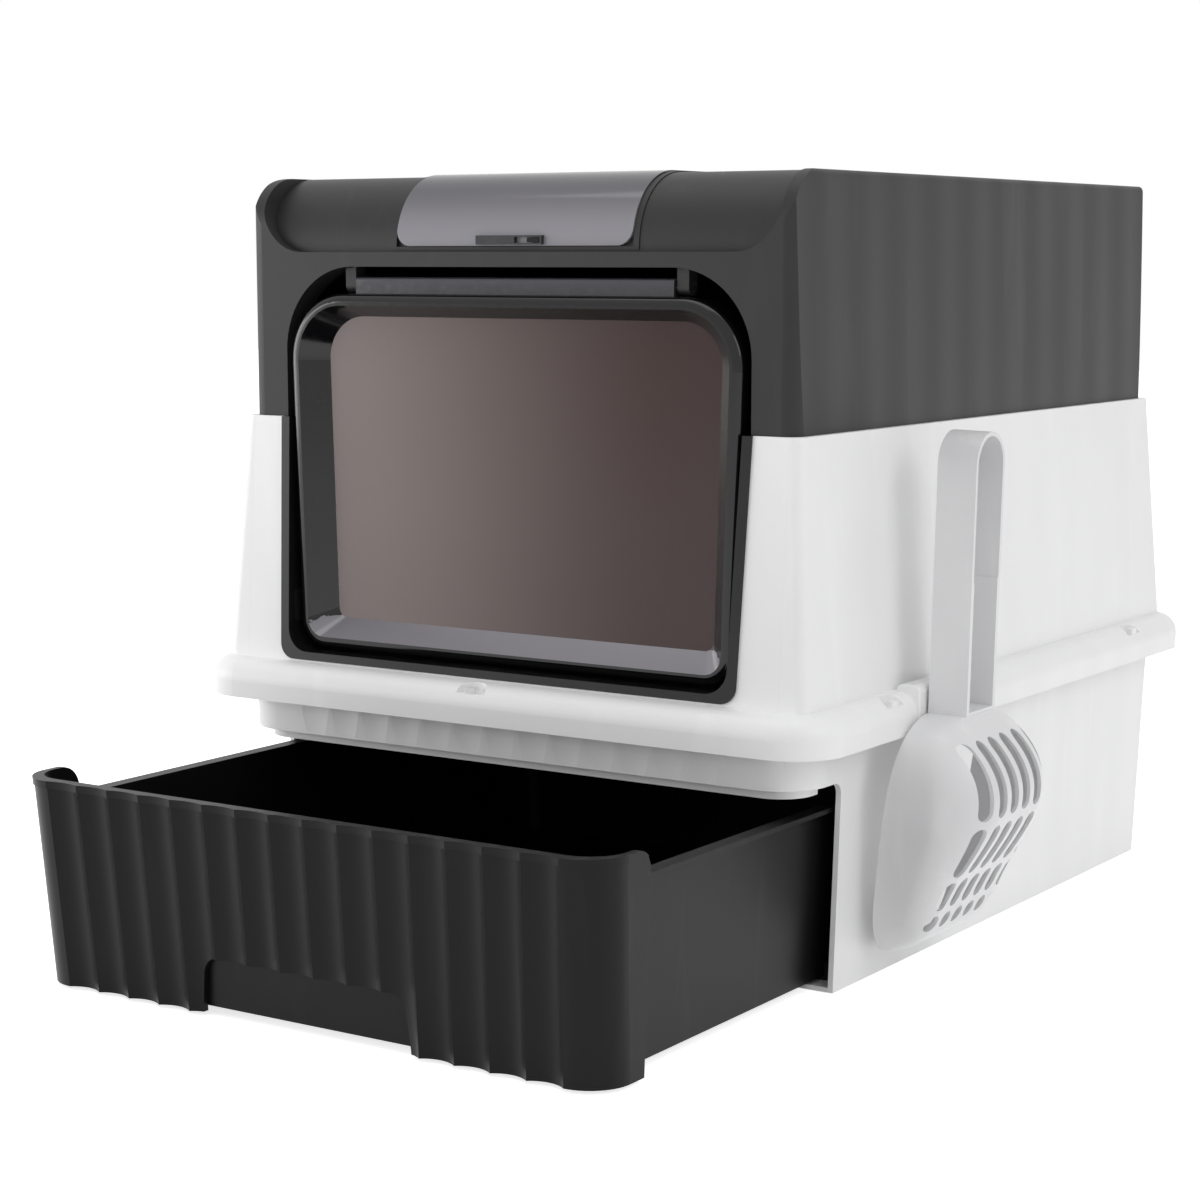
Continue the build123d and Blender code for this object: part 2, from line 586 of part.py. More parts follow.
def frame_latch_clips():
    """Snap heads that stand in the recesses of the flange."""
    clips = []
    for x, y in snap_places():
        along_front = abs(y) > SNAP_SIDE_Y + 1
        size = (CLIP_LENGTH, CLIP_WIDTH) if along_front else (CLIP_WIDTH, CLIP_LENGTH)
        inward_x = 0 if along_front else -math.copysign(SNAP_INSET, x)
        inward_y = -math.copysign(SNAP_INSET, y) if along_front else 0
        clip = Pos(x + inward_x, y + inward_y, SNAP_FLOOR + CLIP_HEIGHT / 2) * Box(*size, CLIP_HEIGHT)
        clips.append(fillet(clip.edges().filter_by(Axis.Z), CLIP_ROUNDING))
    return clips


# Doorway trim

def trim_slope(front_offset, back):
    """Slab whose front follows the sloping face of the frame."""
    drop = JOIN_LEVEL - NOTCH_LOW
    y_top = -JOIN_HALF_DEPTH
    y_low = y_top - FLARE * drop / (JOIN_LEVEL - FLANGE_TOP)
    ends = (back, back)
    if back is None:
        ends = (y_top + TRIM_WALL - TRIM_PROUD, y_low + TRIM_WALL - TRIM_PROUD)
    return across(face_yz([(y_low - front_offset, NOTCH_LOW), (y_top - front_offset, JOIN_LEVEL),
                           (ends[0], JOIN_LEVEL), (ends[1], NOTCH_LOW)]))


def trim_jamb():
    """Inner wall of the trim, from its face back into the box."""
    sill = NOTCH_LOW + TRIM_SILL
    outer = along_y(notch_outline(TRIM_FACE - TRIM_WALL, sill - TRIM_WALL, TRIM_RADIUS, -FAR), FAR)
    inner = along_y(notch_outline(TRIM_FACE, sill, TRIM_RADIUS - TRIM_WALL, -FAR), FAR)
    return (outer - inner) & trim_slope(TRIM_PROUD, TRIM_BACK)


def pad_cutter():
    """Rounded window for the catch pads, through both jambs."""
    back = PAD_FRONT + PAD_WIDTH
    top = PAD_LOW + PAD_HEIGHT
    face = face_yz([(PAD_FRONT, PAD_LOW), (PAD_FRONT, top), (back, top), (back, PAD_LOW)])
    return across(rounded(face, lambda v: True, PAD_RADIUS))


def door_surround():
    """U-shaped trim in the frame's doorway: a face strip and a jamb."""
    face = along_y(notch_outline(0, NOTCH_LOW, NOTCH_RADIUS, -FAR), FAR)
    face -= along_y(notch_outline(TRIM_FACE, NOTCH_LOW + TRIM_SILL, TRIM_RADIUS - TRIM_WALL, -FAR), FAR)
    return (face & trim_slope(TRIM_PROUD, None)) + trim_jamb() - pad_cutter()


def door_catch_pads():
    """Soft pads set in the jambs, which hold the closed door by its edges."""
    return list((trim_jamb() & pad_cutter()).solids())


# Hood

def hood_roll(front, radius, inset):
    """Side profile of the hood with a given roll of the roof front."""
    low = JOIN_LEVEL - (1 if inset else 0)
    back = HOOD_HALF_DEPTH - inset
    top = ROOF_LEVEL - inset
    face = face_yz([(front, low), (front, top), (back - HOOD_BACK_LEAN, top), (back, low)])
    face = rounded(face, lambda v: v.Y < 0 and v.Z > top - 1, radius - inset)
    return rounded(face, lambda v: v.Y > 0 and v.Z > top - 1, HOOD_EDGE)


def hood_block(inset):
    """Whole form of the hood, or its hollow when set in by the wall."""
    half = HOOD_HALF_WIDTH - inset
    top = ROOF_LEVEL - inset
    gable = face_xz([(-half, JOIN_LEVEL - 2), (-half + HOOD_LEAN, top), (half - HOOD_LEAN, top),
                     (half, JOIN_LEVEL - 2)], -FAR)
    gable = rounded(gable, lambda v: v.Z > top - 1, HOOD_EDGE)
    depth = HOOD_HALF_DEPTH - inset
    foot = extrude(centred_plan(half, depth, HOOD_RADIUS - inset, JOIN_LEVEL - 2), FAR)
    sides = along_y(gable, 2 * FAR) & foot
    cheeks = across(hood_roll(-HOOD_HALF_DEPTH + inset, CHEEK_RADIUS, inset)) & sides
    valley = across(hood_roll(VALLEY_FRONT + inset, VALLEY_RADIUS, inset))
    wide = VALLEY_HALF_WIDTH + inset
    low = VALLEY_LOW - inset
    window = face_xz([(-wide, low), (-wide, FAR), (wide, FAR), (wide, low)], -FAR)
    window = rounded(window, lambda v: v.Z < low + MARGIN, VALLEY_CORNER + inset)
    return cheeks - (along_y(window, FAR) - valley)


def arch(grow, y, length):
    """Arch of the doorway in the hood, open at its foot."""
    half = ARCH_HALF_WIDTH + grow
    top = ARCH_TOP + grow
    face = face_xz([(-half, JOIN_LEVEL - 3 * (1 - grow / ARCH_JAMB)), (-half, top), (half, top),
                    (half, JOIN_LEVEL - 3 * (1 - grow / ARCH_JAMB))], y)
    return along_y(rounded(face, lambda v: v.Z > top - 1, ARCH_RADIUS + grow), length)


def roof_core(offset):
    """Everything behind the rolled roof front, or behind a surface at an offset from it."""
    front = VALLEY_FRONT - offset
    top = ROOF_LEVEL + offset
    face = face_yz([(front, JOIN_LEVEL), (front, top), (0, top), (0, JOIN_LEVEL)])
    return across(rounded(face, lambda v: v.Y < front + 1 and v.Z > top - 1, VALLEY_RADIUS + offset))


def roof_band(outer, inner, half_width, low, back):
    """Sheet along the rolled roof front, between two offsets from its surface."""
    sheet = roof_core(outer) - roof_core(inner)
    return sheet & block(-half_width, half_width, -FAR, back, low, 2 * FAR)


def hood_shell():
    """Charcoal hood with rolled cheeks, a sunk roof front, the doorway arch and the hatch hole."""
    hood = hood_block(0) - hood_block(HOOD_WALL)
    hood &= block(-FAR, FAR, -FAR, FAR, JOIN_LEVEL, 2 * FAR)
    hood += arch(ARCH_JAMB, -HOOD_HALF_DEPTH, ARCH_DEPTH)
    hood -= arch(0, -HOOD_HALF_DEPTH - MARGIN, ARCH_DEPTH + 2 * MARGIN)
    hood -= roof_band(2 * SEAT_DEPTH, -3 * SEAT_DEPTH, SEAT_HALF_WIDTH, seat_low(), seat_back())
    for x in bracket_middles():
        hood -= Pos(x, PIN_Y, ARCH_TOP) * Cylinder(SCREW_RADIUS + PRESS, 3 * ARCH_JAMB)
    return hood


# Door

def door_outline(side, low, top, low_radius, top_radius, y):
    """Door outline, set in by its own amounts at the sides, foot and head."""
    slope = (DOOR_HALF_TOP - DOOR_HALF_LOW) / (DOOR_TOP - DOOR_LOW)
    half_low = DOOR_HALF_LOW + low * slope - side
    half_top = DOOR_HALF_TOP - top * slope - side
    face = face_xz([(-half_low, DOOR_LOW + low), (-half_top, DOOR_TOP - top), (half_top, DOOR_TOP - top),
                    (half_low, DOOR_LOW + low)], y)
    face = rounded(face, lambda v: v.Z < DOOR_LOW + low + 1, low_radius)
    return rounded(face, lambda v: v.Z > DOOR_TOP - top - 1, top_radius)


def door_funnel(grow, front, back):
    """Bevelled hollow in front of the pane, or its outside when grown by the wall."""
    outer = door_outline(ROLL - grow, ROLL - grow, ROLL - grow, DOOR_LOW_RADIUS - ROLL + grow,
                         DOOR_TOP_RADIUS - ROLL + grow, front)
    inner = door_outline(BEVEL_SIDE - grow, BEVEL_LOW - grow, BEVEL_TOP - grow, DOOR_LOW_RADIUS / 3 + grow,
                         DOOR_TOP_RADIUS - BEVEL_TOP + grow, back)
    return loft([outer, inner], ruled=True)


def door_leaf():
    """Smoked door: a hollow rolled edge, a bevel all round and a flat pane set back."""
    outline = door_outline(0, 0, 0, DOOR_LOW_RADIUS, DOOR_TOP_RADIUS, DOOR_FRONT)
    slab = along_y(outline, DOOR_THICKNESS)
    slab = fillet(slab.faces().sort_by(Axis.Y)[0].edges(), DOOR_ROUNDING)
    pocket = door_funnel(0, DOOR_FRONT - 0.01, DOOR_BACK - DOOR_WALL)
    backing = door_funnel(DOOR_WALL, DOOR_FRONT, DOOR_BACK)
    inside = door_outline(DOOR_WALL, DOOR_WALL, DOOR_WALL, DOOR_LOW_RADIUS - DOOR_WALL,
                          DOOR_TOP_RADIUS - DOOR_WALL, DOOR_FRONT + DOOR_WALL)
    hollow = along_y(inside, DOOR_THICKNESS - DOOR_WALL)
    return slab - pocket - (hollow - backing)


def door_hinge_rail():
    """Bar along the door's head, with a blind bore in each end."""
    rail = block(-RAIL_HALF_WIDTH, RAIL_HALF_WIDTH, PIN_Y - RAIL_HALF_DEPTH, PIN_Y + RAIL_HALF_DEPTH,
                 DOOR_TOP, RAIL_TOP)
    rail = fillet(rail.edges().filter_by(Axis.X).sort_by(Axis.Z)[-2:], RAIL_ROUNDING)
    bore = rod(PIN_RADIUS + PRESS, RAIL_HALF_WIDTH - PIN_BITE, RAIL_HALF_WIDTH + MARGIN, PIN_Y, PIN_Z)
    for hole in both_sides(bore):
        rail -= hole
    return rail


def bracket_middles():
    x = RAIL_HALF_WIDTH + BRACKET_GAP + BRACKET_WIDTH / 2
    return (-x, x)


def door_hinge_pins():
    reach = RAIL_HALF_WIDTH + BRACKET_GAP + BRACKET_WIDTH
    return both_sides(rod(PIN_RADIUS, RAIL_HALF_WIDTH - PIN_BITE + CLEAR, reach, PIN_Y, PIN_Z))


def door_hinge_brackets():
    """Two ears under the arch that carry the door's pins."""
    x0 = RAIL_HALF_WIDTH + BRACKET_GAP
    x1 = x0 + BRACKET_WIDTH
    radius = PIN_Z - DOOR_TOP - CLEAR
    ear = block(x0, x1, PIN_Y - radius, PIN_Y + radius, PIN_Z, ARCH_TOP) + rod(radius, x0, x1, PIN_Y, PIN_Z)
    ear -= rod(PIN_RADIUS + RUN, x0 - 1, x1 + 1, PIN_Y, PIN_Z)
    ear -= Pos((x0 + x1) / 2, PIN_Y, ARCH_TOP) * Cylinder(SCREW_RADIUS + PRESS, 2 * SCREW_BITE)
    return both_sides(ear & arch(-CLEAR, -HOOD_HALF_DEPTH, ARCH_DEPTH))


def door_bracket_screws():
    """Screws down through the arch into the ears."""
    top = ARCH_TOP + ARCH_JAMB
    low = ARCH_TOP - SCREW_BITE + CLEAR
    x = bracket_middles()[1]
    screw = Pos(x, PIN_Y, (top + low) / 2) * Cylinder(SCREW_RADIUS, top - low)
    screw += Pos(x, PIN_Y, top + SCREW_HEAD_HEIGHT / 2) * Cylinder(SCREW_HEAD, SCREW_HEAD_HEIGHT)
    return both_sides(screw)


# Roof hatch

def seat_low():
    return HATCH_LOW - HATCH_GAP - SEAT_EDGE / 2


def seat_back():
    return HATCH_AXIS_Y + BARREL_SPACE + SEAT_BAR


def hatch_seat():
    """Ring in the hood's hatch hole, with a ledge under the hatch and bores for its pins."""
    half = HATCH_HALF_WIDTH + HATCH_GAP
    back = HATCH_AXIS_Y + BARREL_SPACE
    seat = roof_band(SEAT_PROUD, -SEAT_DEPTH, SEAT_HALF_WIDTH, seat_low(), seat_back())
    under = HATCH_PROUD - HATCH_SHEET - CLEAR
    seat -= roof_band(2 * SEAT_DEPTH, under, half, HATCH_LOW - HATCH_GAP, back)
    seat -= roof_band(2 * SEAT_DEPTH, -3 * SEAT_DEPTH, half - SEAT_LEDGE, HATCH_LOW + SEAT_LEDGE,
                      HATCH_AXIS_Y - 2 * BARREL_SPACE)
    seat -= block(-half, half, HATCH_AXIS_Y - BARREL_SPACE, back, ROOF_LEVEL - 2 * SEAT_DEPTH, FAR)
    bore = rod(HATCH_PIN_RADIUS + RUN, half - MARGIN, SEAT_HALF_WIDTH + MARGIN, HATCH_AXIS_Y, HATCH_AXIS_Z)
    for hole in both_sides(bore):
        seat -= hole
    return seat


def roof_hatch():
    """Smoked lid that follows the rolled roof front, with a hinge barrel behind."""
    lid = roof_band(HATCH_PROUD, HATCH_PROUD - HATCH_SHEET, HATCH_HALF_WIDTH + HATCH_CORNER,
                    HATCH_LOW - HATCH_CORNER, HATCH_AXIS_Y)
    edge = face_xz([(-HATCH_HALF_WIDTH, HATCH_LOW), (-HATCH_HALF_WIDTH, FAR), (HATCH_HALF_WIDTH, FAR),
                    (HATCH_HALF_WIDTH, HATCH_LOW)], -FAR)
    edge = rounded(edge, lambda v: v.Z < HATCH_LOW + MARGIN, HATCH_CORNER)
    lid &= along_y(edge, 2 * FAR)
    lid += rod(BARREL_RADIUS, -HATCH_HALF_WIDTH, HATCH_HALF_WIDTH, HATCH_AXIS_Y, HATCH_AXIS_Z)
    bore = rod(HATCH_PIN_RADIUS + PRESS, HATCH_HALF_WIDTH - HATCH_PIN_BITE, HATCH_HALF_WIDTH + MARGIN,
               HATCH_AXIS_Y, HATCH_AXIS_Z)
    for hole in both_sides(bore):
        lid -= hole
    return lid


def hatch_hinge_pins():
    inner = HATCH_HALF_WIDTH - HATCH_PIN_BITE + CLEAR
    return both_sides(rod(HATCH_PIN_RADIUS, inner, SEAT_HALF_WIDTH - CLEAR, HATCH_AXIS_Y, HATCH_AXIS_Z))


def tab_front():
    return VALLEY_FRONT - HATCH_PROUD - TAB_REACH


def catch_low():
    return TAB_LOW + (TAB_HEIGHT - CATCH_HEIGHT) / 2


def hatch_finger_tab():
    """Grip strip on the hatch's front edge, with the slot of the sliding catch."""
    tab = block(-TAB_HALF_LENGTH, TAB_HALF_LENGTH, tab_front(), tab_front() + 3 * TAB_REACH, TAB_LOW,
                TAB_LOW + TAB_HEIGHT)
    tab -= roof_core(HATCH_PROUD)
    right = TAB_HALF_LENGTH - TAB_END_WALL
    slot = block(right - CATCH_LENGTH - CATCH_TRAVEL - 2 * CLEAR, right, tab_front() - MARGIN, 0,
                 catch_low() - CLEAR, catch_low() + CATCH_HEIGHT + CLEAR)
    return tab - slot


def hatch_catch():
    """Small slider in the grip strip."""
    right = TAB_HALF_LENGTH - TAB_END_WALL - CLEAR
    return block(right - CATCH_LENGTH, right, tab_front() - CLEAR, tab_front() + TAB_REACH - CLEAR,
                 catch_low(), catch_low() + CATCH_HEIGHT)


# Scoop

def handle_outline(inset, low, x):
    """Long upright loop with a round head."""
    half = HANDLE_WIDTH / 2 - inset
    top = HANDLE_TOP - inset
    face = make_face(Polyline((x, SCOOP_Y - half, low), (x, SCOOP_Y - half, top), (x, SCOOP_Y + half, top),
                              (x, SCOOP_Y + half, low), close=True))
    return rounded(face, lambda v: v.Z > top - 1, half - 0.01)


def scoop_handle():
    """Channel-shaped handle, open away from the wall, its lower half with thicker legs."""
    low = BOWL_TOP - 5
    outside = HANDLE_INNER + HANDLE_DEPTH
    handle = extrude(handle_outline(0, low, HANDLE_INNER), HANDLE_DEPTH, dir=(1, 0, 0))
    open_half = handle_outline(HANDLE_WALL, HANDLE_STEP, HANDLE_INNER + HANDLE_WEB)
    handle -= extrude(open_half, HANDLE_DEPTH, dir=(1, 0, 0))
    half = HANDLE_WIDTH / 2 - HANDLE_STEP_WALL
    handle -= block(HANDLE_INNER + HANDLE_WEB, outside + 1, SCOOP_Y - half, SCOOP_Y + half, BOWL_TOP + 2,
                    HANDLE_STEP + 0.01)
    handle = handle.rotate(Axis((HANDLE_INNER, SCOOP_Y, BOWL_TOP), (0, 1, 0)), HANDLE_LEAN)
    return handle & block(0, FAR, -FAR, FAR, BOWL_TOP, FAR)


def bowl_loft(inset, open_side):
    """Smooth bowl through its sections; the hollow is set in and runs out on the wall side."""
    faces = []
    lowest = BOWL_TOP - BOWL_SECTIONS[-1][0]
    for depth, wall_side, outer_side, less, radius in BOWL_SECTIONS:
        level = min(max(BOWL_TOP - depth, lowest + inset), BOWL_TOP - inset)
        inner = FLANGE_HALF_WIDTH + wall_side - open_side
        outer = FLANGE_HALF_WIDTH + outer_side - inset
        half = BOWL_HALF_WIDTH - less - inset
        face = make_face(Polyline((inner, SCOOP_Y - half, level), (outer, SCOOP_Y - half, level),
                                  (outer, SCOOP_Y + half, level), (inner, SCOOP_Y + half, level), close=True))
        faces.append(rounded(face, lambda v: v.X > outer - CLEAR, radius - inset))
    return loft(faces)


def scoop_bowl():
    """Sieving bowl, open towards the wall, with rows of slots."""
    bowl = bowl_loft(0, 0) - bowl_loft(BOWL_WALL, BOWL_OPEN)
    start = FLANGE_HALF_WIDTH + BOWL_SECTIONS[-1][1] + BOWL_WALL
    for high, low in SLOT_ROWS:
        for i in range(SLOT_COLUMNS):
            y = SCOOP_Y + (i - (SLOT_COLUMNS - 1) / 2) * SLOT_PITCH
            face = Plane(origin=(start, y, BOWL_TOP - (low + high) / 2), x_dir=(0, 0, 1), z_dir=(1, 0, 0))
            bowl -= extrude(face * SlotOverall(low - high, SLOT_WIDTH), 2 * BOWL_HALF_WIDTH)
    return bowl


def scoop_holder():
    """Saddle on the flange's shoulder with a peg that reaches under the scoop's neck."""
    edge = FLANGE_HALF_WIDTH
    low = FLANGE_LOW + PEG_RISE
    saddle = block(edge - HOLDER_DEPTH, edge + HOLDER_PROUD, SCOOP_Y - HOLDER_HALF_LENGTH,
                   SCOOP_Y + HOLDER_HALF_LENGTH, low, FLANGE_TOP + HOLDER_RISE)
    saddle = fillet(saddle.edges().filter_by(Axis.Y).sort_by(Axis.Z)[-2:], HOLDER_EDGE)
    saddle = fillet(saddle.edges().filter_by(Axis.Z), HOLDER_CORNER)
    saddle -= flange_block()
    roof = BOWL_TOP - BOWL_WALL - CLEAR
    peg = block(edge, edge + PEG_REACH, SCOOP_Y - PEG_HALF_WIDTH, SCOOP_Y + PEG_HALF_WIDTH, low, roof)
    return saddle + peg


os.makedirs("parts", exist_ok=True)
put("base_shell", base_shell())
put("drawer_runners", drawer_runners())
put("drawer_tub", drawer_tub())
put("drawer_front", drawer_front())
put("drawer_front_rivets", drawer_front_rivets())
put("mid_frame", mid_frame())
put("frame_latch_clips", frame_latch_clips())
put("door_surround", door_surround())
put("door_catch_pads", door_catch_pads())
put("hood_shell", hood_shell())
put("door_leaf", door_leaf())
put("door_hinge_rail", door_hinge_rail())
put("door_hinge_pins", door_hinge_pins())
put("door_hinge_brackets", door_hinge_brackets())
put("door_bracket_screws", door_bracket_screws())
put("hatch_seat", hatch_seat())
put("roof_hatch", roof_hatch())
put("hatch_hinge_pins", hatch_hinge_pins())
put("hatch_finger_tab", hatch_finger_tab())
put("hatch_catch", hatch_catch())
put("scoop_handle", scoop_handle())
put("scoop_bowl", scoop_bowl())
put("scoop_holder", scoop_holder())
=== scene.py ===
import math
import bpy
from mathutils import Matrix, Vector

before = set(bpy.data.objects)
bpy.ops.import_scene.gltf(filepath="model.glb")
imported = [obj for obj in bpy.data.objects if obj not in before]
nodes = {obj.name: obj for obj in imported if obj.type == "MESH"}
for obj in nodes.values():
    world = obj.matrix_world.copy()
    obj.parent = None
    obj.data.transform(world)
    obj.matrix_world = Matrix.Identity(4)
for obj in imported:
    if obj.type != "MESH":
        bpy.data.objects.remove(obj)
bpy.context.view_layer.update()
print("stage: frame loaded,", len(nodes), "nodes")


def linear(hexColour):
    # sRGB hex to the linear colour that a shader socket takes
    parts = [int(hexColour[i:i + 2], 16) / 255 for i in (1, 3, 5)]
    channels = [p / 12.92 if p <= 0.04045 else ((p + 0.055) / 1.055) ** 2.4 for p in parts]
    return (*channels, 1.0)


def addNode(tree, kind, settings=None, values=None, links=None):
    # settings are the node's own properties, values go on its sockets, links bring other outputs in
    node = tree.nodes.new(kind)
    for name, value in (settings or {}).items():
        setattr(node, name, value)
    for socket, value in (values or {}).items():
        node.inputs[socket].default_value = value
    for socket, output in (links or {}).items():
        tree.links.new(output, node.inputs[socket])
    return node


def newMaterial(name):
    material = bpy.data.materials.new(name)
    material.use_nodes = True
    material.node_tree.nodes.clear()
    return material, material.node_tree


def dress(material, *names):
    for name in names:
        mesh = nodes[name].data
        mesh.materials.clear()
        mesh.materials.append(material)


# the camera is fitted to the straight edges in the photograph
photoView = {
    "imageSize": 1200,         # pixels, both ways
    "focalPixels": 2641.9,
    "sensor": 36.0,            # mm
    "place": (0.8090, -1.3610, 0.3775),
    "turn": 33.456,            # degrees about Z, from looking along +Y
    "lookDown": 8.79,
    "centre": (596.5, 664.9),  # where the camera's axis meets the photograph
}


def makeCamera(view):
    data = bpy.data.cameras.new("photoCamera")
    data.sensor_width = view["sensor"]
    data.lens = view["focalPixels"] * view["sensor"] / view["imageSize"]
    middle = view["imageSize"] / 2
    data.shift_x = (middle - view["centre"][0]) / view["imageSize"]
    data.shift_y = (view["centre"][1] - middle) / view["imageSize"]
    data.clip_start = 0.05
    camera = bpy.data.objects.new("photoCamera", data)
    camera.location = view["place"]
    camera.rotation_euler = (math.radians(90 - view["lookDown"]), 0, math.radians(view["turn"]))
    bpy.context.scene.collection.objects.link(camera)
    bpy.context.scene.camera = camera


makeCamera(photoView)
print("stage: camera")

studioLook = {
    "backdrop": "#FFFFFF",
    "worldLight": 0.63,        # what the world adds to matt surfaces
    "floorSize": 14.0,
    "floorDrop": 0.0004,       # the floor lies a hair under the base
    "floorGlow": 0.82,
    "floorShow": 0.9,          # the rest stays matt card, which keeps the shadow
    "lampAim": (0, -0.05, 0.2),
}
lamps = {
    "leftLamp": {"place": (-2.45, -2.2, 0.55), "power": 13.0, "size": 1.0},
    "grazingLamp": {"place": (-2.3, -0.95, 0.5), "power": 9.0, "size": 0.8},
    "rightLamp": {"place": (2.3, -0.3, 1.5), "power": 8.0, "size": 1.2},
    "topLamp": {"place": (-0.2, -0.3, 2.8), "power": 15.0, "size": 2.0},
}


def seenDirectly(tree):
    # 1 where the camera, a reflection or clear plastic looks at it, else 0
    path = addNode(tree, "ShaderNodeLightPath")
    sharp = addNode(tree, "ShaderNodeMath", {"operation": "ADD", "use_clamp": True},
                    links={0: path.outputs["Is Camera Ray"], 1: path.outputs["Is Glossy Ray"]})
    every = addNode(tree, "ShaderNodeMath", {"operation": "ADD", "use_clamp": True},
                    links={0: sharp.outputs[0], 1: path.outputs["Is Transmission Ray"]})
    return every.outputs[0]


def makeWorld(look):
    world = bpy.data.worlds.new("studioWorld")
    world.use_nodes = True
    tree = world.node_tree
    tree.nodes.clear()
    white = linear(look["backdrop"])
    fill = addNode(tree, "ShaderNodeBackground", values={"Color": white, "Strength": look["worldLight"]})
    seen = addNode(tree, "ShaderNodeBackground", values={"Color": white, "Strength": 1.0})
    mix = addNode(tree, "ShaderNodeMixShader",
                  links={0: seenDirectly(tree), 1: fill.outputs[0], 2: seen.outputs[0]})
    addNode(tree, "ShaderNodeOutputWorld", links={"Surface": mix.outputs[0]})
    bpy.context.scene.world = world


def makeFloor(look):
    bpy.ops.object.select_all(action="DESELECT")
    bpy.ops.mesh.primitive_plane_add(size=look["floorSize"], location=(0, 0, -look["floorDrop"]))
    floor = bpy.context.object
    floor.name = "studioFloor"
    bpy.ops.object.transform_apply(location=True, rotation=True, scale=True)
    # matt white card, whose far end fades into the white world
    material, tree = newMaterial("white card, matt")
    white = linear(look["backdrop"])
    card = addNode(tree, "ShaderNodeBsdfDiffuse", values={"Color": white})
    glow = addNode(tree, "ShaderNodeEmission", values={"Color": white, "Strength": look["floorGlow"]})
    both = addNode(tree, "ShaderNodeAddShader", links={0: card.outputs[0], 1: glow.outputs[0]})
    share = addNode(tree, "ShaderNodeMath", {"operation": "MULTIPLY"}, {1: look["floorShow"]},
                    {0: seenDirectly(tree)})
    mix = addNode(tree, "ShaderNodeMixShader",
                  links={0: share.outputs[0], 1: card.outputs[0], 2: both.outputs[0]})
    addNode(tree, "ShaderNodeOutputMaterial", links={"Surface": mix.outputs[0]})
    floor.data.materials.append(material)


def makeLamp(name, look, aim):
    data = bpy.data.lights.new(name, "AREA")
    data.energy = look["power"]
    data.size = look["size"]
    lamp = bpy.data.objects.new(name, data)
    lamp.location = look["place"]
    towards = Vector(aim) - lamp.location
    lamp.rotation_euler = towards.to_track_quat("-Z", "Y").to_euler()
    bpy.context.scene.collection.objects.link(lamp)


makeWorld(studioLook)
makeFloor(studioLook)
for lampName, lampLook in lamps.items():
    makeLamp(lampName, lampLook, studioLook["lampAim"])
bpy.context.scene.view_settings.view_transform = "Standard"
print("stage: floor and lamps")


waveLength = math.pi / 10                            # metres, one band of the wave texture at scale 1
noiseSpan = {"From Min": 0.3, "From Max": 0.7}       # nearly all of a noise's values lie in here
rubbedSpan = {"From Min": 0.6, "From Max": 0.72}     # only the strongest flow marks are rubbed
dustSpan = {"From Min": 0.35, "From Max": 0.75}      # dust starts late and never covers all
spotSpan = {"From Min": 0.35, "From Max": 0.7}
sinkStrength = 0.35
rippleStrength = 0.12


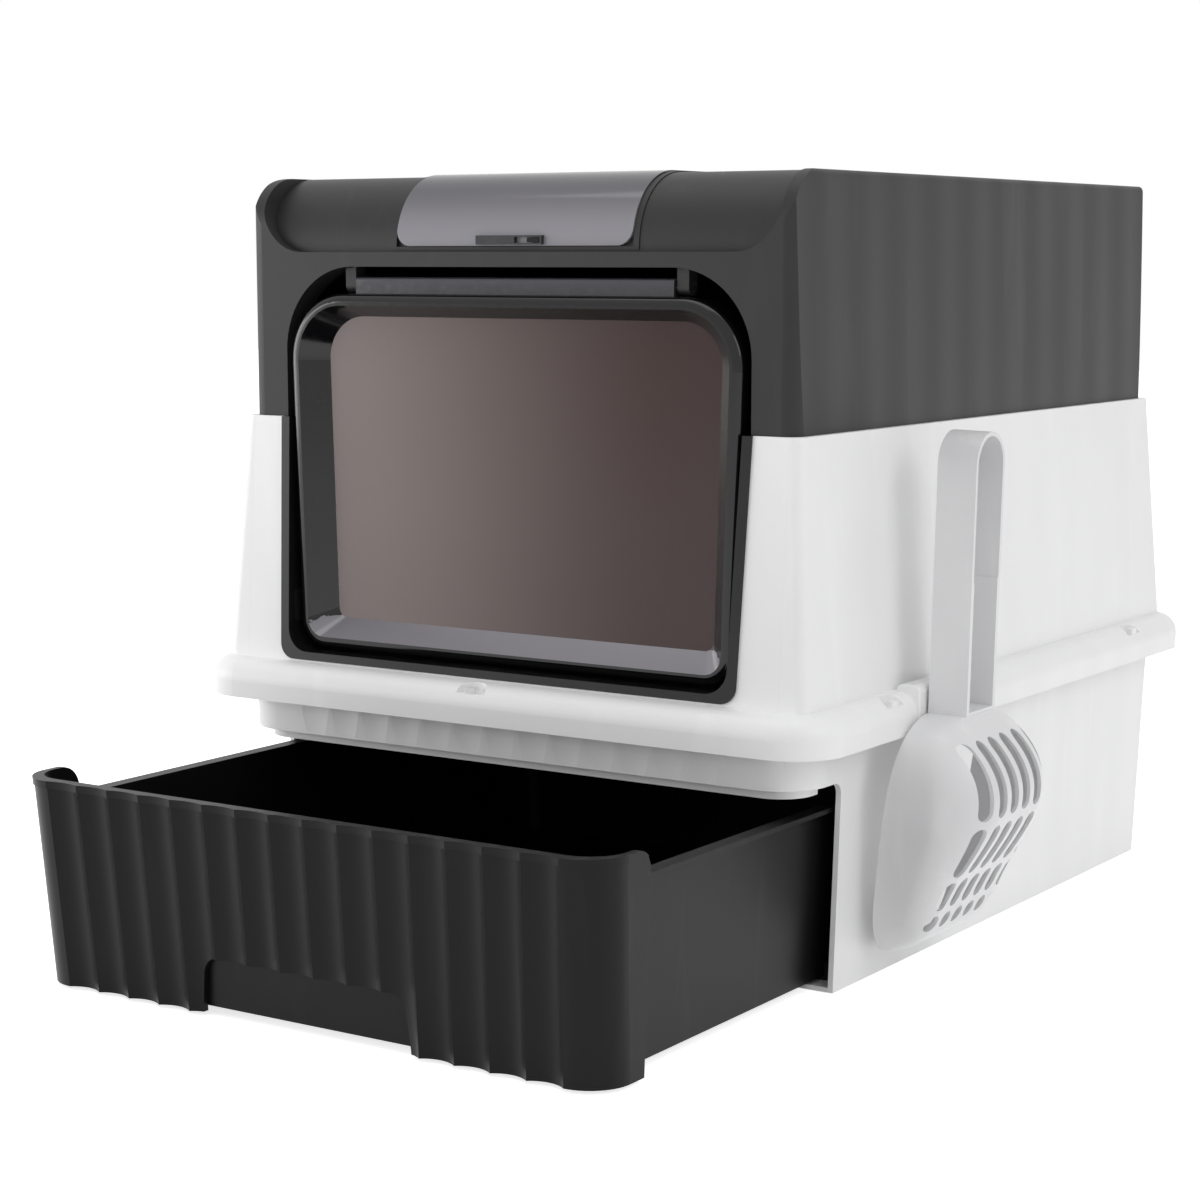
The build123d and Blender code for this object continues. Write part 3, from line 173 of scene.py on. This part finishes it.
def mouldedPlastic(name, look):
    # injection-moulded plastic: a fine eroded grain, slow colour drift, faint flow marks along the
    # melt's way, a few rubbed streaks that shine more, and walls that are never quite flat
    material, tree = newMaterial(name)
    place = addNode(tree, "ShaderNodeTexCoord").outputs["Object"]
    drift = addNode(tree, "ShaderNodeTexNoise",
                    values={"Scale": 1 / look["driftSize"], "Detail": 3.0}, links={"Vector": place})
    grain = addNode(tree, "ShaderNodeTexNoise",
                    values={"Scale": 1 / look["grainSize"], "Detail": 2.0}, links={"Vector": place})
    # flow marks run up the walls, so the noise is drawn out along Z
    along = addNode(tree, "ShaderNodeMapping", values={"Scale": look["flowStretch"]},
                    links={"Vector": place})
    flow = addNode(tree, "ShaderNodeTexNoise",
                   values={"Scale": 1 / look["flowSize"], "Detail": 2.0, "Distortion": 0.6},
                   links={"Vector": along.outputs["Vector"]})
    rubbed = addNode(tree, "ShaderNodeMapRange", values=rubbedSpan,
                     links={"Value": flow.outputs["Fac"]})
    blend = addNode(tree, "ShaderNodeMix", {"data_type": "FLOAT"}, {0: look["grainShare"]},
                    {2: drift.outputs["Fac"], 3: grain.outputs["Fac"]})
    spread = addNode(tree, "ShaderNodeMapRange", values=noiseSpan,
                     links={"Value": blend.outputs[0]})
    body = addNode(tree, "ShaderNodeMix", {"data_type": "RGBA"},
                   {6: linear(look["dark"]), 7: linear(look["light"])}, {0: spread.outputs[0]})
    streak = addNode(tree, "ShaderNodeMath", {"operation": "MULTIPLY"}, {1: look["flowShare"]},
                     {0: rubbed.outputs[0]})
    colour = addNode(tree, "ShaderNodeMix", {"data_type": "RGBA"}, {7: linear(look["streak"])},
                     {0: streak.outputs[0], 6: body.outputs[2]})
    low, high = look["roughness"]
    rough = addNode(tree, "ShaderNodeMapRange", values={"To Min": low, "To Max": high},
                    links={"Value": drift.outputs["Fac"]})
    polish = addNode(tree, "ShaderNodeMath", {"operation": "MULTIPLY"}, {1: look["polish"]},
                     {0: rubbed.outputs[0]})
    finish = addNode(tree, "ShaderNodeMath", {"operation": "SUBTRACT", "use_clamp": True},
                     links={0: rough.outputs[0], 1: polish.outputs[0]})
    waves = addNode(tree, "ShaderNodeBump",
                    values={"Strength": sinkStrength, "Distance": look["sinkDepth"]},
                    links={"Height": drift.outputs["Fac"]})
    # the side walls carry faint upright flutes, which the front and the roof lack
    spot = addNode(tree, "ShaderNodeSeparateXYZ", links={0: place})
    aside = addNode(tree, "ShaderNodeMath", {"operation": "ABSOLUTE"}, links={0: spot.outputs["X"]})
    onSide = addNode(tree, "ShaderNodeMath", {"operation": "GREATER_THAN"}, {1: look["sideFrom"]},
                     {0: aside.outputs[0]})
    bands = addNode(tree, "ShaderNodeTexWave", {"bands_direction": "Y"},
                    {"Scale": waveLength / look["flutePitch"]}, {"Vector": place})
    fluting = addNode(tree, "ShaderNodeMath", {"operation": "MULTIPLY"},
                      links={0: bands.outputs["Fac"], 1: onSide.outputs[0]})
    flutes = addNode(tree, "ShaderNodeBump", values={"Strength": 1.0, "Distance": look["fluteDepth"]},
                     links={"Height": fluting.outputs[0], "Normal": waves.outputs["Normal"]})
    bump = addNode(tree, "ShaderNodeBump",
                   values={"Strength": look["grainStrength"], "Distance": look["grainDepth"]},
                   links={"Height": grain.outputs["Fac"], "Normal": flutes.outputs["Normal"]})
    shader = addNode(tree, "ShaderNodeBsdfPrincipled",
                     values={"IOR": look["ior"], "Specular IOR Level": look["specular"]},
                     links={"Base Color": colour.outputs[2], "Roughness": finish.outputs[0],
                            "Normal": bump.outputs["Normal"]})
    addNode(tree, "ShaderNodeOutputMaterial", links={"Surface": shader.outputs["BSDF"]})
    return material


# lengths in metres; flutes start at sideFrom, which plain walls never reach
plainWalls = {"sideFrom": 1.0, "flutePitch": 0.0424, "fluteDepth": 0.0002}
bodyWhite = {
    "light": "#F7F7F7", "dark": "#F0F0F1", "streak": "#FBFBFB", "roughness": (0.34, 0.44), "ior": 1.49,
    "specular": 0.5, "grainSize": 0.0011, "grainDepth": 0.00004, "grainStrength": 0.25, "driftSize": 0.12,
    "grainShare": 0.15, "flowSize": 0.02, "flowStretch": (1.0, 1.0, 0.12), "flowShare": 0.35,
    "polish": 0.05, "sinkDepth": 0.0004, "sideFrom": 0.172, "flutePitch": 0.0424, "fluteDepth": 0.0004,
}
hoodCharcoal = {
    "light": "#292929", "dark": "#212121", "streak": "#2E2E2E", "roughness": (0.42, 0.54), "ior": 1.49,
    "specular": 0.34, "grainSize": 0.0010, "grainDepth": 0.00006, "grainStrength": 0.45, "driftSize": 0.09,
    "grainShare": 0.3, "flowSize": 0.016, "flowStretch": (1.0, 1.0, 0.1), "flowShare": 0.25,
    "polish": 0.03, "sinkDepth": 0.0005, "sideFrom": 0.168, "flutePitch": 0.0424, "fluteDepth": 0.0005,
}
drawerBlack = {
    "light": "#141415", "dark": "#0E0E0E", "streak": "#19191A", "roughness": (0.32, 0.42), "ior": 1.49,
    "specular": 0.16, "grainSize": 0.0010, "grainDepth": 0.00004, "grainStrength": 0.3, "driftSize": 0.1,
    "grainShare": 0.25, "flowSize": 0.014, "flowStretch": (1.0, 1.0, 0.08), "flowShare": 0.5,
    "polish": 0.08, "sinkDepth": 0.0004, **plainWalls,
}
trimBlack = {
    "light": "#19191A", "dark": "#111112", "streak": "#1F1F20", "roughness": (0.2, 0.3), "ior": 1.52,
    "specular": 0.3, "grainSize": 0.0014, "grainDepth": 0.00002, "grainStrength": 0.15, "driftSize": 0.07,
    "grainShare": 0.1, "flowSize": 0.02, "flowStretch": (1.0, 1.0, 0.15), "flowShare": 0.3,
    "polish": 0.06, "sinkDepth": 0.0003, **plainWalls,
}
padRubber = {
    "light": "#141414", "dark": "#0C0C0C", "streak": "#1A1A1A", "roughness": (0.6, 0.72), "ior": 1.5,
    "specular": 0.3, "grainSize": 0.0008, "grainDepth": 0.00005, "grainStrength": 0.4, "driftSize": 0.02,
    "grainShare": 0.4, "flowSize": 0.006, "flowStretch": (1.0, 1.0, 0.5), "flowShare": 0.3,
    "polish": 0.1, "sinkDepth": 0.0001, **plainWalls,
}
# painted shade: a greyer copy of the body's white, used for the scoop
scoopPaintedShadeWhite = dict(bodyWhite, light="#E9E9EA", dark="#DCDCDE", streak="#F0F0F0", sideFrom=1.0)
dress(mouldedPlastic("white polypropylene, moulded", bodyWhite),
      "base_shell", "mid_frame", "frame_latch_clips", "scoop_holder")
# painted shade: the scoop is set greyer than the body, standing in for the shade it gets against the wall,
# so that it stands out from the wall behind it
dress(mouldedPlastic("white polypropylene, greyed as painted shade", scoopPaintedShadeWhite), "scoop_bowl", "scoop_handle")
dress(mouldedPlastic("charcoal polypropylene, spark-eroded", hoodCharcoal),
      "hood_shell", "hatch_seat", "door_hinge_brackets")
dress(mouldedPlastic("black polypropylene, satin", drawerBlack),
      "drawer_front", "drawer_tub", "drawer_front_rivets", "drawer_runners", "hatch_catch")
dress(mouldedPlastic("black ABS, polished", trimBlack), "door_surround")
dress(mouldedPlastic("thermoplastic rubber, soft", padRubber), "door_catch_pads")


def smokedPlastic(name, look):
    # smoked clear polystyrene: a glossy skin over a dark body; its colour runs from first to last along
    # one axis, a painted shade and painted reflection that stand in for how light falls across the piece;
    # the moulding's ripples bend the reflections, and fine dust dulls them in places
    material, tree = newMaterial(name)
    place = addNode(tree, "ShaderNodeTexCoord").outputs["Object"]
    drift = addNode(tree, "ShaderNodeTexNoise",
                    values={"Scale": 1 / look["driftSize"], "Detail": 2.0}, links={"Vector": place})
    dust = addNode(tree, "ShaderNodeTexNoise",
                   values={"Scale": 1 / look["dustSize"], "Detail": 4.0}, links={"Vector": place})
    spot = addNode(tree, "ShaderNodeSeparateXYZ", links={0: place})
    start, end = look["reach"]
    paintedShadeRamp = addNode(tree, "ShaderNodeMapRange", {"interpolation_type": "SMOOTHSTEP"},
                     {"From Min": start, "From Max": end}, {"Value": spot.outputs[look["along"]]})
    blend = addNode(tree, "ShaderNodeMix", {"data_type": "FLOAT"}, {0: look["driftShare"]},
                    {2: paintedShadeRamp.outputs[0], 3: drift.outputs["Fac"]})
    colour = addNode(tree, "ShaderNodeMix", {"data_type": "RGBA"},
                     {6: linear(look["first"]), 7: linear(look["last"])}, {0: blend.outputs[0]})
    low, high = look["roughness"]
    rough = addNode(tree, "ShaderNodeMapRange", values={**dustSpan, "To Min": low, "To Max": high},
                    links={"Value": dust.outputs["Fac"]})
    ripple = addNode(tree, "ShaderNodeBump",
                     values={"Strength": rippleStrength, "Distance": look["rippleDepth"]},
                     links={"Height": drift.outputs["Fac"]})
    shader = addNode(tree, "ShaderNodeBsdfPrincipled",
                     values={"IOR": look["ior"], "Specular IOR Level": look["specular"],
                             "Alpha": look["alpha"]},
                     links={"Base Color": colour.outputs[2], "Roughness": rough.outputs[0],
                            "Normal": ripple.outputs["Normal"]})
    addNode(tree, "ShaderNodeOutputMaterial", links={"Surface": shader.outputs["BSDF"]})
    return material


# painted reflection: the pane runs from pale brown on the left to dark brown on the right, standing in for
# the lamps' reflection from the left
doorPanePaintedReflection = {
    "first": "#8C7F7C", "last": "#351914", "along": "X", "reach": (-0.15, 0.11),
    "roughness": (0.12, 0.22), "ior": 1.59, "specular": 0.28, "driftSize": 0.15, "driftShare": 0.08,
    "dustSize": 0.003, "rippleDepth": 0.0003, "alpha": 0.95,
}
doorRim = {
    "first": "#101012", "last": "#0A0A0C", "along": "X", "reach": (-0.15, 0.15),
    "roughness": (0.1, 0.16), "ior": 1.59, "specular": 0.32, "driftSize": 0.1, "driftShare": 0.3,
    "dustSize": 0.003, "rippleDepth": 0.0004, "alpha": 1.0,
}
# painted reflection: the upward-leaning bevel is painted pale grey for the light it catches from above
paintedSillReflection = dict(doorRim, first="#86848A", last="#9A989E", specular=0.5)
# painted shade and painted reflection: the hatch runs from pale grey at its foot to dark grey at its top,
# for how light falls on the rolled roof
hatchSmokePaintedShade = {
    "first": "#95939A", "last": "#3E3B42", "along": "Z", "reach": (0.387, 0.4195),
    "roughness": (0.1, 0.18), "ior": 1.59, "specular": 0.5, "driftSize": 0.08, "driftShare": 0.12,
    "dustSize": 0.003, "rippleDepth": 0.0004, "alpha": 0.95,
}
tabSmoke = dict(hatchSmokePaintedShade, first="#2A292D", last="#232226")
# painted shade: the rail is darker at its foot and lighter at its top, like the hatch's ramp
railSmokePaintedShade = dict(hatchSmokePaintedShade, first="#26262B", last="#4A4A52", reach=(0.356, 0.372))
leafSplit = {
    "sillTop": 0.1785,         # metres, the bevel under the pane ends here
    "paneFront": -0.2134,      # the pane's outside lies behind this depth
    "flat": 0.9,               # a face this square to the depth is the pane's
    "sillForward": 0.1,        # the bevel leans forward and up at least this much
    "sillUp": 0.2,
}
rimSlot, paneSlot, sillSlot = 0, 1, 2


def dressDoor(split):
    # the leaf has three looks: black rim, brown pane with painted reflection, and the bevel along its
    # foot, painted pale as a painted reflection of the sky it faces
    leaf = nodes["door_leaf"].data
    leaf.materials.clear()
    leaf.materials.append(smokedPlastic("smoked polystyrene, hollow rim, polished", doorRim))
    leaf.materials.append(smokedPlastic("smoked polystyrene, brown pane, painted reflection", doorPanePaintedReflection))
    leaf.materials.append(smokedPlastic("smoked polystyrene, bevel, painted sky reflection", paintedSillReflection))
    for face in leaf.polygons:
        forward, up = -face.normal.y, face.normal.z
        recessed = face.center.y > split["paneFront"]
        if -forward > split["flat"] or (forward > split["flat"] and recessed):
            face.material_index = paneSlot
        elif forward > split["sillForward"] and up > split["sillUp"] and face.center.z < split["sillTop"]:
            face.material_index = sillSlot
        else:
            face.material_index = rimSlot


dressDoor(leafSplit)
dress(smokedPlastic("smoked polystyrene, grey, painted shade", hatchSmokePaintedShade), "roof_hatch")
dress(smokedPlastic("smoked polystyrene, thick grip, polished", tabSmoke), "hatch_finger_tab")
dress(smokedPlastic("smoked polystyrene, dark grey, painted shade", railSmokePaintedShade), "door_hinge_rail")

pinSteel = {
    "light": "#C9C9C8", "dark": "#A9A9A6",
    "spotSize": 0.0011,        # metres, dull spots of the plating
    "roughness": (0.28, 0.45),
}


def platedSteel(name, look):
    # zinc-plated steel wire: a soft shine with small dull spots
    material, tree = newMaterial(name)
    place = addNode(tree, "ShaderNodeTexCoord").outputs["Object"]
    spots = addNode(tree, "ShaderNodeTexNoise",
                    values={"Scale": 1 / look["spotSize"], "Detail": 4.0}, links={"Vector": place})
    spread = addNode(tree, "ShaderNodeMapRange", values=spotSpan,
                     links={"Value": spots.outputs["Fac"]})
    colour = addNode(tree, "ShaderNodeMix", {"data_type": "RGBA"},
                     {6: linear(look["dark"]), 7: linear(look["light"])}, {0: spread.outputs[0]})
    low, high = look["roughness"]
    rough = addNode(tree, "ShaderNodeMapRange", values={"To Min": low, "To Max": high},
                    links={"Value": spots.outputs["Fac"]})
    shader = addNode(tree, "ShaderNodeBsdfPrincipled", values={"Metallic": 1.0},
                     links={"Base Color": colour.outputs[2], "Roughness": rough.outputs[0]})
    addNode(tree, "ShaderNodeOutputMaterial", links={"Surface": shader.outputs["BSDF"]})
    return material


dress(platedSteel("zinc-plated steel, drawn", pinSteel),
      "door_hinge_pins", "hatch_hinge_pins", "door_bracket_screws")
print("stage: materials")
